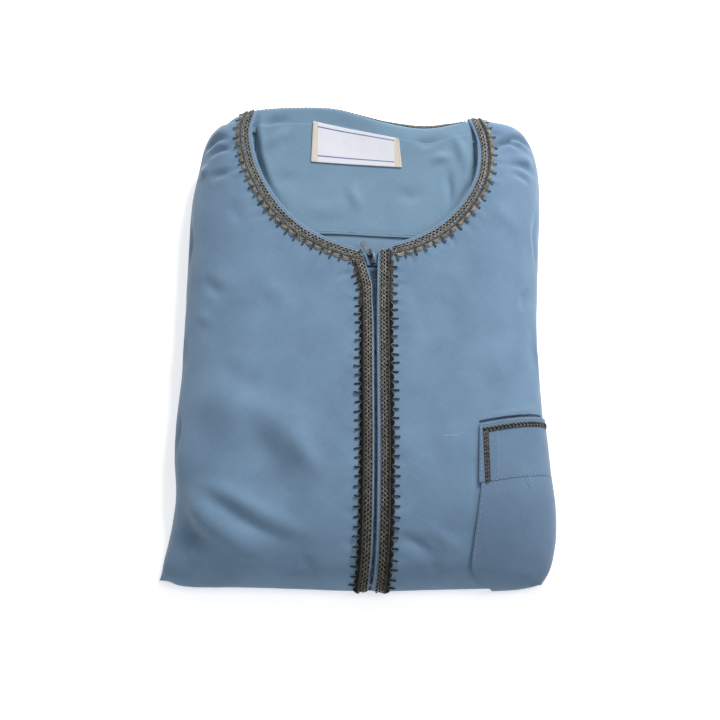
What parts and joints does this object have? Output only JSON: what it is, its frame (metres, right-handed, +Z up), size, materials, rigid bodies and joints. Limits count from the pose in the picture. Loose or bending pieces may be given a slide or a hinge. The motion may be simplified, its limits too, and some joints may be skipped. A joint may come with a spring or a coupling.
{
  "type": "folded qamis robe",
  "caption": "Child's zip-front qamis robe folded into a flat pack, with a braid-trimmed neckline and placket, a patch pocket at one side and a swinging zip pull tab.",
  "frame": {"origin": "middle of the folded robe's box, on the surface it rests on", "axes": "+Y from the near fold to the neck, +Z up through the folded layers, +X to the pocket side"},
  "size_m": [0.2364, 0.3186, 0.0432],
  "materials": {
    "cloth": "plain-woven light poly-cotton, mid blue, matt with a slight sheen",
    "cloth_inside": "the same cloth seen from inside, a little lighter",
    "braid": "woven braid of taupe and dark brown yarn with a raised cord, scallops and picots",
    "label_cloth": "woven satin label, white with two thin blue woven lines and no lettering",
    "zip_tape": "ribbed woven zip tape, dark blue-grey",
    "zip_coil": "nylon coil, dark blue-grey",
    "slider_metal": "grey-blue enamel over cast metal"
  },
  "bodies": {
    "robe": {"front_left": "cloth", "front_right": "cloth", "back": "cloth_inside", "back_facing": "cloth_inside", "label": "label_cloth", "hidden_layers": "cloth", "placket_braid_left": "braid", "placket_braid_right": "braid", "neck_braid_left": "braid", "neck_braid_right": "braid", "neck_braid_back": "braid", "zip_tape_left": "zip_tape", "zip_tape_right": "zip_tape", "zip_coil": "zip_coil", "zip_slider": "slider_metal", "pocket_cuff": "cloth", "pocket_bag": "cloth", "pocket_braid": "braid"},
    "pull_tab": {"pull_tab": "slider_metal"}
  },
  "joints": [
    {"name": "pull_tab_swing", "type": "hinge", "parent": "robe", "child": "pull_tab", "pos_m": [0.00673, 0.04839, 0.03765], "axis": [0.9135, 0.4067, 0], "range_deg": [0, 185]}
  ]
}
